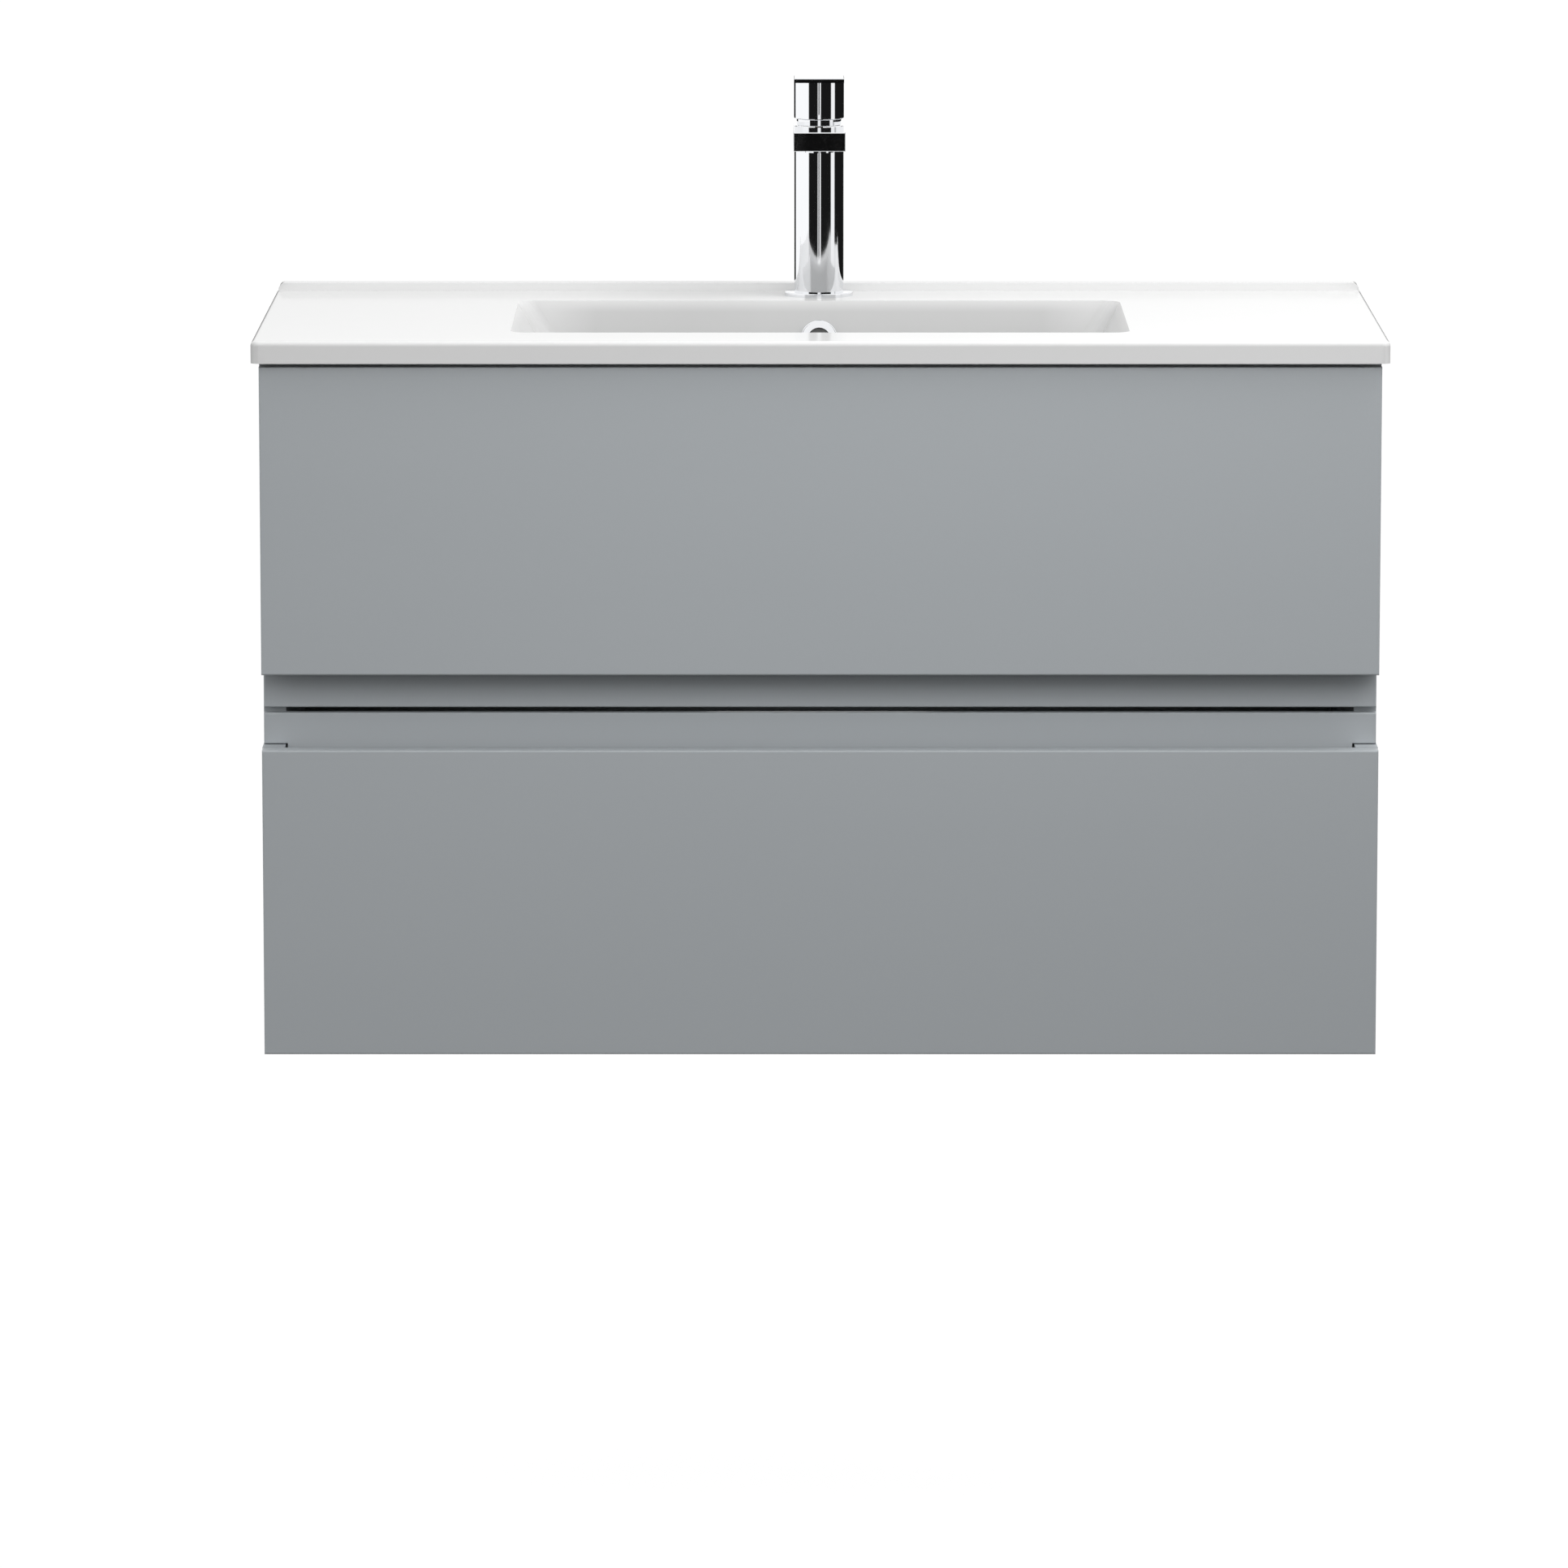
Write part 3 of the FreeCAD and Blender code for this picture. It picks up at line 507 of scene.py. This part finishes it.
def glazed_china():
    material, tree, shader = finish_named("glazed_white_china")
    position = place_on_part(tree)
    flow = noise(tree, position, 14, 2)
    tint = noise(tree, position, 3, 2)
    normal = add(tree, "NewGeometry").outputs["True Normal"]
    upright = add(tree, "SeparateXYZ", {"Vector": normal}).outputs["Z"]
    height = add(tree, "SeparateXYZ", {"Vector": position}).outputs["Z"]
    # Painted shade: faces that are not level get a greyer white (0.80), darker the more upright they
    # stand.
    level_glaze_white = two_colours(tree, tint, (0.920, 0.922, 0.920), (0.936, 0.937, 0.934))
    painted_upright_shade = add(tree, "Mix", {"Factor": spread(tree, upright, 0, 1, 0.3, 0.9),
                              "A": (0.80, 0.801, 0.80, 1), "B": level_glaze_white},
                data_type="RGBA").outputs["Result"]
    # Painted shade: the sunk bowl gets a grey (0.64) in place of the glaze white.
    painted_bowl_shade = painted_bowl_shade_region(tree, position, height)
    glaze = add(tree, "Mix", {"Factor": painted_bowl_shade, "A": painted_upright_shade, "B": (0.640, 0.642, 0.640, 1)},
                data_type="RGBA").outputs["Result"]
    grog = noise(tree, position, 2200, 3, 0.7)
    clay = two_colours(tree, grog, (0.62, 0.59, 0.54), (0.76, 0.73, 0.68))
    bare = bare_region(tree, upright, height)
    colour = add(tree, "Mix", {"Factor": bare, "A": glaze, "B": clay}, data_type="RGBA")
    tree.links.new(colour.outputs["Result"], shader.inputs["Base Color"])
    rough = add(tree, "Mix", {"Factor": bare, "A": spread(tree, flow, 0.10, 0.15), "B": 0.85})
    tree.links.new(rough.outputs["Result"], shader.inputs["Roughness"])
    tree.links.new(relief(tree, flow, 0.0002, 0.12), shader.inputs["Normal"])
    tree.links.new(china_gloss(tree, normal, upright), shader.inputs["Specular IOR Level"])
    shader.inputs["IOR"].default_value = 1.46
    print("made", material.name)
    return material


china = glazed_china()

# %% [markdown]
# The tap and the waste are chrome on brass, and the overflow ring is chromed plastic. Chrome is a
# mirror with a cool cast. What makes it look handled is a trace of haze: wiped streaks that are
# slightly rougher than the clean metal, and a shallow polish ripple.

# %% Polished chrome
def polished_chrome():
    material, tree, shader = finish_named("polished_chrome")
    position = place_on_part(tree)
    wipe = noise(tree, place_on_part(tree, (1, 1, 0.2)), 60, 3, 0.6)
    ripple = noise(tree, position, 90, 1)
    tree.links.new(two_colours(tree, wipe, (0.80, 0.81, 0.83), (0.86, 0.87, 0.885)),
                   shader.inputs["Base Color"])
    shader.inputs["Metallic"].default_value = 1.0
    tree.links.new(spread(tree, wipe, 0.02, 0.075, 0.3, 0.8), shader.inputs["Roughness"])
    tree.links.new(relief(tree, ripple, 0.00004, 0.15), shader.inputs["Normal"])
    print("made", material.name)
    return material


chrome = polished_chrome()

# %% [markdown]
# The overflow ring is chromed where it shows, and its bore is painted near black, dull and not metal,
# as painted shade for the dark hole. The bore is found by the distance from the ring's leaning axis: a
# cross product with the axis gives that distance, whichever way the axis leans.

# %% Overflow ring with its bore painted black as shade
bowl_lean = math.radians(8.0)
ring_drop = 0.028
bowl_rear = -0.085
ring_axis = Vector((0, -math.cos(bowl_lean), math.sin(bowl_lean)))
ring_middle = Vector((0, bowl_rear - ring_drop * math.tan(bowl_lean), deck - ring_drop))
bore_radius = 0.008
bore_margin = 0.0003


def chromed_ring():
    material = chrome.copy()
    material.name = "chromed_ring"
    tree = material.node_tree
    position = place_on_part(tree)
    from_middle = add(tree, "VectorMath", {0: position, 1: ring_middle}, operation="SUBTRACT")
    across = add(tree, "VectorMath", {0: from_middle.outputs[0], 1: ring_axis},
                 operation="CROSS_PRODUCT")
    radius = add(tree, "VectorMath", {0: across.outputs[0]}, operation="LENGTH").outputs["Value"]
    in_bore = add(tree, "Math", {0: radius, 1: bore_radius + bore_margin},
                  operation="LESS_THAN").outputs[0]
    # Painted shade: the bore is coloured near black, dull and not metal, so the hole reads dark.
    bore_painted_black = two_colours(tree, noise(tree, position, 1200), (0.008, 0.008, 0.009), (0.02, 0.02, 0.021))
    shader = tree.nodes["Principled BSDF"]
    plated = shader.inputs["Base Color"].links[0].from_socket
    polish = shader.inputs["Roughness"].links[0].from_socket
    colour = add(tree, "Mix", {"Factor": in_bore, "A": plated, "B": bore_painted_black}, data_type="RGBA")
    tree.links.new(colour.outputs["Result"], shader.inputs["Base Color"])
    tree.links.new(add(tree, "Mix", {"Factor": in_bore, "A": polish, "B": 0.6}).outputs["Result"],
                   shader.inputs["Roughness"])
    tree.links.new(spread(tree, in_bore, 1.0, 0.0), shader.inputs["Metallic"])
    print("made", material.name)
    return material


ring_finish = chromed_ring()

# %% [markdown]
# Brass shows where nothing is plated: the tap's base insert, its stud and nut, and the turret and
# stem under the knob. Turning leaves fine rings round the part, and handling leaves brown
# tarnish in patches.

# %% Turned brass
def turned_brass():
    material, tree, shader = finish_named("turned_brass")
    position = place_on_part(tree)
    tarnish = noise(tree, position, 110, 4, 0.65)
    rings = add(tree, "TexWave", {"Vector": position, "Scale": 900, "Distortion": 0.6},
                bands_direction="Z").outputs["Fac"]
    tree.links.new(two_colours(tree, spread(tree, tarnish, 0, 1, 0.35, 0.7), (0.78, 0.60, 0.30),
                               (0.47, 0.33, 0.15)), shader.inputs["Base Color"])
    shader.inputs["Metallic"].default_value = 1.0
    tree.links.new(spread(tree, tarnish, 0.22, 0.5), shader.inputs["Roughness"])
    tree.links.new(relief(tree, rings, 0.00004, 0.4), shader.inputs["Normal"])
    print("made", material.name)
    return material


brass = turned_brass()

# %% [markdown]
# Runners, hangers, wall plates and screws are zinc-plated steel. Bright zinc has a soft grey
# lustre with a faint blue and straw cast, drawn out along the strip that it was rolled from.

# %% Zinc-plated steel
def zinc_steel():
    material, tree, shader = finish_named("zinc_plated_steel")
    rolled = noise(tree, place_on_part(tree, (6, 0.3, 6)), 160, 3, 0.6)
    bloom = noise(tree, place_on_part(tree), 30, 3)
    cool = two_colours(tree, rolled, (0.56, 0.59, 0.63), (0.69, 0.71, 0.73))
    warm = add(tree, "Mix", {"Factor": spread(tree, bloom, 0, 0.35, 0.45, 0.75), "A": cool,
                             "B": (0.66, 0.63, 0.53, 1)}, data_type="RGBA").outputs["Result"]
    tree.links.new(warm, shader.inputs["Base Color"])
    shader.inputs["Metallic"].default_value = 1.0
    tree.links.new(spread(tree, rolled, 0.26, 0.42), shader.inputs["Roughness"])
    tree.links.new(relief(tree, rolled, 0.00003, 0.3), shader.inputs["Normal"])
    print("made", material.name)
    return material


zinc = zinc_steel()

# %% [markdown]
# The back nut under the basin and the cartridge are moulded plastic. The washer at the waste and
# the seal under the tap are rubber.
# Moulded plastic has a spark-eroded texture from its mould; rubber is darker and duller, with a
# chalky bloom that comes and goes over the surface.

# %% Plastic and rubber
def moulded(name, dark, pale, grain_size, roughness):
    material, tree, shader = finish_named(name)
    position = place_on_part(tree)
    grain = noise(tree, position, grain_size, 3, 0.6)
    bloom = noise(tree, position, 90, 2)
    tree.links.new(two_colours(tree, bloom, dark, pale), shader.inputs["Base Color"])
    tree.links.new(spread(tree, grain, roughness - 0.08, roughness + 0.08), shader.inputs["Roughness"])
    tree.links.new(relief(tree, grain, 0.00008, 0.4), shader.inputs["Normal"])
    print("made", name)
    return material


white_plastic = moulded("white_moulded_plastic", (0.74, 0.74, 0.72), (0.82, 0.82, 0.80), 1600, 0.48)
black_rubber = moulded("black_rubber", (0.018, 0.018, 0.019), (0.045, 0.045, 0.047), 900, 0.72)

# %% [markdown]
# Each part names a material slot in its record, so one table from slot to finish dresses all of
# them, and a part that was forgotten would show up here as an error instead of as plain grey.
# The overflow ring then swaps its chrome for the finish with the bore painted black as shade.

# %% Dress the parts
finish_of_slot = {
    "front_lacquer": lacquer,
    "carcass_board": board_finish,
    "drawer_board": linen,
    "ceramic": china,
    "chrome": chrome,
    "brass": brass,
    "zinc_steel": zinc,
    "white_plastic": white_plastic,
    "black_rubber": black_rubber,
}
for entry in frame["record"]["subparts"]:
    part = nodes[entry["node"]]
    part.data.materials.clear()
    part.data.materials.append(finish_of_slot[entry["material_slot"]])
nodes["overflow_ring"].data.materials[0] = ring_finish

# %% [markdown]
# The small fittings come next. Most of them are turned parts, so one helper does the work:
# it draws half the outline, spins it once round the axis and merges the seam.
# Points on the axis close to a tip, which leaves a solid with no holes.

# %% Helpers for turned pieces
merge_gap = 1e-6
sharp_angle = math.radians(32)


def turned(shape, outline, steps, closed):
    """Spins an outline of (radius, height) points round Z; a closed one makes a ring."""
    corners = [shape.verts.new((radius, 0, height)) for radius, height in outline]
    edges = [shape.edges.new(pair) for pair in zip(corners, corners[1:])]
    if closed:
        edges.append(shape.edges.new((corners[-1], corners[0])))
    bmesh.ops.spin(shape, geom=corners + edges, cent=(0, 0, 0), axis=(0, 0, 1),
                   angle=2 * math.pi, steps=steps, use_merge=True)
    bmesh.ops.remove_doubles(shape, verts=shape.verts, dist=merge_gap)


print("edges sharper than", round(math.degrees(sharp_angle)), "degrees stay crisp")

# %% [markdown]
# A finished mesh becomes an object, gets its material and rides on a body, so that it moves with
# the parts that it belongs to. A piece made of several copies gathers them in one mesh first.

# %% Helpers for new pieces
def piece_from(shape, name, material, rides_on, smooth=True):
    """Closes a mesh into a named object that rides on a body of the frame."""
    bmesh.ops.recalc_face_normals(shape, faces=shape.faces)
    mesh = bpy.data.meshes.new(name)
    shape.to_mesh(mesh)
    shape.free()
    mesh.materials.append(material)
    piece = bpy.data.objects.new(name, mesh)
    bpy.context.scene.collection.objects.link(piece)
    if smooth:
        mesh.shade_smooth()
        mesh.set_sharp_from_angle(angle=sharp_angle)
    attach(piece, rides_on)
    print(name, len(mesh.polygons), "faces")
    return piece


def merge_into(shape, piece):
    """Copies one bmesh into another and lets go of it."""
    mesh = bpy.data.meshes.new("merged_part")
    piece.to_mesh(mesh)
    piece.free()
    shape.from_mesh(mesh)
    bpy.data.meshes.remove(mesh)


def thread_outline(low, high, crest, root, pitch):
    """Crests and roots of a cut thread, from bottom to top."""
    turns = int((high - low) / pitch)
    points = []
    for turn in range(turns):
        start = low + turn * pitch
        points += [(root, start + 0.08 * pitch), (crest, start + 0.46 * pitch),
                   (crest, start + 0.58 * pitch), (root, start + 0.96 * pitch)]
    return points


print("piece helpers ready")

# %% [markdown]
# The waste is a brass tube with a flange that sits in the bowl, chromed all over.
# Its outside is threaded for the back nut above and the trap's nut below, with a plain groove
# between. Turned grooves stand for the spiral: at this size the eye can't tell them apart.

# %% Waste tube
waste_low, waste_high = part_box("waste_body")
waste_axis = middle_axis(waste_low, waste_high)
tube_radius = 0.02095
tube_bore = 0.0185
flange_radius = (waste_high.x - waste_low.x) / 2
tail = waste_low.z
tail_thread, tail_groove = 0.020, 0.002
flange_thickness = 0.003
window_low, window_high = tail + 0.0661, tail + 0.0709
thread_depth, thread_pitch = 0.00125, 0.00231
tube_steps = 96


def waste_outline():
    root, pitch = tube_radius - thread_depth, thread_pitch
    top = waste_high.z
    groove_top = tail + tail_thread + tail_groove
    outline = [(tube_bore, tail), (root, tail)]
    outline += thread_outline(tail + 0.0005, tail + 0.0198, tube_radius, root, pitch)
    outline += [(root, tail + tail_thread), (root, groove_top)]
    outline += thread_outline(groove_top + 0.0005, window_low - 0.002, tube_radius, root, pitch)
    outline += [(root, window_low), (root, window_high), (root, top - flange_thickness),
                (flange_radius, top - flange_thickness), (flange_radius, top - 0.0012),
                (flange_radius - 0.0004, top - 0.0004), (flange_radius - 0.0012, top),
                (tube_bore + 0.0008, top), (tube_bore, top - 0.0008),
                (tube_bore, window_high), (tube_bore, window_low)]
    return outline


tube = bmesh.new()
turned(tube, waste_outline(), tube_steps, closed=True)
print("tube faces", len(tube.faces))

# %% [markdown]
# A window in the rear wall lets in the water from the overflow. The wall's faces there are
# removed inside and out, and the two openings are bridged.

# %% Window in the tube
window_half = 0.0025
slack = 1e-5
window = []
for face in tube.faces:
    middle = face.calc_center_median()
    heights = [corner.co.z for corner in face.verts]
    in_height = window_low - slack < min(heights) and max(heights) < window_high + slack
    if in_height and middle.y > 0 and abs(middle.x) < window_half:
        window.append(face)
bmesh.ops.delete(tube, geom=window, context="FACES")
rims = [edge for edge in tube.edges if len(edge.link_faces) == 1]
bmesh.ops.bridge_loops(tube, edges=rims)
print("window faces", len(window), "rim edges", len(rims))

# %% [markdown]
# Inside the tube a hub on two arms guides the stem of the plug. The arms run into the hub and
# into the wall, as they would in a casting, so there is no gap where they meet.

# %% Hub and arms
hub_low, hub_high = tail + 0.040, tail + 0.054
hub_bore, hub_radius, hub_bevel = 0.00605, 0.010, 0.0006
arm_size = (0.0102, 0.005, 0.008)
arm_reach, arm_height = 0.0139, tail + 0.048
hub = bmesh.new()
turned(hub, [(hub_bore, hub_low), (hub_radius - hub_bevel, hub_low), (hub_radius, hub_low + hub_bevel),
             (hub_radius, hub_high - hub_bevel), (hub_radius - hub_bevel, hub_high),
             (hub_bore, hub_high)], 48, closed=True)
for side in (-1, 1):
    made = bmesh.ops.create_cube(hub, size=1.0)
    size = Matrix.Diagonal((*arm_size, 1))
    place = Matrix.Translation((side * arm_reach, 0, arm_height))
    bmesh.ops.transform(hub, matrix=place @ size, verts=made["verts"])
merge_into(tube, hub)
bmesh.ops.translate(tube, verts=tube.verts, vec=waste_axis)
waste_tube = piece_from(tube, "waste_tube", chrome, "cabinet")
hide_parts("waste_body")
print("hub from", round(hub_low, 4), "to", round(hub_high, 4))

# %% [markdown]
# One stud pulls the tap down onto the basin. It is M8 threaded bar, so the same outline helper
# cuts its thread, this time down to a solid core that closes on the axis at both ends.

# %% Tap stud
stud_low, stud_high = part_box("tap_stud")
stud_axis = middle_axis(stud_low, stud_high)
stud_radius = (stud_high.x - stud_low.x) / 2
stud_root, stud_pitch = stud_radius - 0.0006, 0.00125
stud_tip = 0.0004
stud = bmesh.new()
stud_outline = [(0, stud_low.z), (stud_root - stud_tip, stud_low.z),
                (stud_root, stud_low.z + 0.0005)]
stud_outline += thread_outline(stud_low.z + 0.0006, stud_high.z - 0.0006, stud_radius, stud_root,
                               stud_pitch)
stud_outline += [(stud_root - stud_tip, stud_high.z), (0, stud_high.z)]
turned(stud, stud_outline, 40, closed=False)
bmesh.ops.translate(stud, verts=stud.verts, vec=stud_axis)
stud_slot = next(entry["material_slot"] for entry in frame["record"]["subparts"]
                 if entry["node"] == "tap_stud")
threaded_stud = piece_from(stud, "threaded_stud", finish_of_slot[stud_slot], "cabinet")
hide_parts("tap_stud")
print("stud radius", round(stud_radius, 5), "slot", stud_slot)

# %% [markdown]
# The aerator has a fine wire gauze across its mouth that breaks the jet into drops.
# A flat grid, trimmed to a circle, becomes wires with the Wireframe modifier: it turns every
# edge into a square bar, which is far quicker than modelling each wire.

# %% Aerator gauze
aerator_low, aerator_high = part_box("aerator")
aerator_axis = middle_axis(aerator_low, aerator_high)
gauze_radius = 0.0087
gauze_cells = 16
gauze_lift = 0.0015
wire_thickness = 0.0003
gauze = bmesh.new()
bmesh.ops.create_grid(gauze, x_segments=gauze_cells, y_segments=gauze_cells, size=gauze_radius)
outside = [v for v in gauze.verts if v.co.length > gauze_radius]
bmesh.ops.delete(gauze, geom=outside, context="VERTS")
gauze_place = aerator_axis + Vector((0, 0, aerator_low.z + gauze_lift))
bmesh.ops.translate(gauze, verts=gauze.verts, vec=gauze_place)
aerator_gauze = piece_from(gauze, "aerator_gauze", chrome, "cabinet", smooth=False)
wires = aerator_gauze.modifiers.new("wires", "WIREFRAME")
wires.thickness = wire_thickness
wires.use_even_offset = False
print("gauze at", round(gauze_place.z, 4))

# %% [markdown]
# Soft dots on the front edges of the side panels stop the drawer faces from knocking.
# Each is a low dome a little thinner than the gap behind the face, so it never quite touches.

# %% Bumper dots
dot_radius, dot_height = 0.004, 0.0012
panel_middle = (side_low.x + side_high.x) / 2
dot_heights = [side_low.z + lift for lift in (0.030, 0.190, 0.300, 0.470)]
dots = bmesh.new()
for side in (-1, 1):
    for height in dot_heights:
        dot = bmesh.new()
        turned(dot, [(0, 0), (dot_radius, 0), (dot_radius, 0.4 * dot_height),
                     (0.8 * dot_radius, 0.8 * dot_height), (0.45 * dot_radius, dot_height),
                     (0, dot_height)], 24, closed=False)
        place = Matrix.Translation((side * panel_middle, side_low.y, height))
        bmesh.ops.transform(dot, matrix=place @ Matrix.Rotation(math.pi / 2, 4, "X"), verts=dot.verts)
        merge_into(dots, dot)
piece_from(dots, "bumper_dots", white_plastic, "cabinet")
print("dots on each side", len(dot_heights))

# %% [markdown]
# The fixed runner members are screwed to the side panels with pan-head screws.
# The cross recess is made without any cutting: the ring of points round the recess is pulled
# outwards on four sides and inwards between them, which leaves a four-pointed socket.

# %% Runner screws
head_radius, head_height = 0.0034, 0.0019
socket_depth = 0.0012
head_steps = 16
screw_spots = (0.025, 0.120, 0.215)
web_thickness = 0.0012
arm_pull, corner_pull = 1.45, 0.55


def screw_head(shape):
    outline = [(0, head_height - socket_depth), (0.0011, head_height - socket_depth),
               (0.0012, head_height), (0.0022, 0.94 * head_height), (0.0030, 0.70 * head_height),
               (head_radius, 0.25 * head_height), (head_radius, -0.0002), (0, -0.0002)]
    turned(shape, outline, head_steps, closed=False)
    for corner in shape.verts:
        radius = math.hypot(corner.co.x, corner.co.y)
        if 0.0005 < radius < 0.0015:
            quarter = math.degrees(math.atan2(corner.co.y, corner.co.x)) % 90
            on_arm = min(quarter, 90 - quarter) < 5
            pull = arm_pull if on_arm else corner_pull
            corner.co.x *= pull
            corner.co.y *= pull


screws = bmesh.new()
for members in ("upper_runner_cabinet_members", "lower_runner_cabinet_members"):
    low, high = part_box(members)
    web_face = high.x - web_thickness
    middle = (low.z + high.z) / 2
    for side in (-1, 1):
        for along in screw_spots:
            head = bmesh.new()
            screw_head(head)
            turn = Matrix.Rotation(-side * math.pi / 2, 4, "Y")
            place = Matrix.Translation((side * web_face, low.y + along, middle))
            bmesh.ops.transform(head, matrix=place @ turn, verts=head.verts)
            merge_into(screws, head)
piece_from(screws, "runner_screws", zinc, "cabinet")
print("screws", 2 * 2 * len(screw_spots))

# %% [markdown]
# Last, the bounds of every shown part are measured.

# %% Finish
low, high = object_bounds()
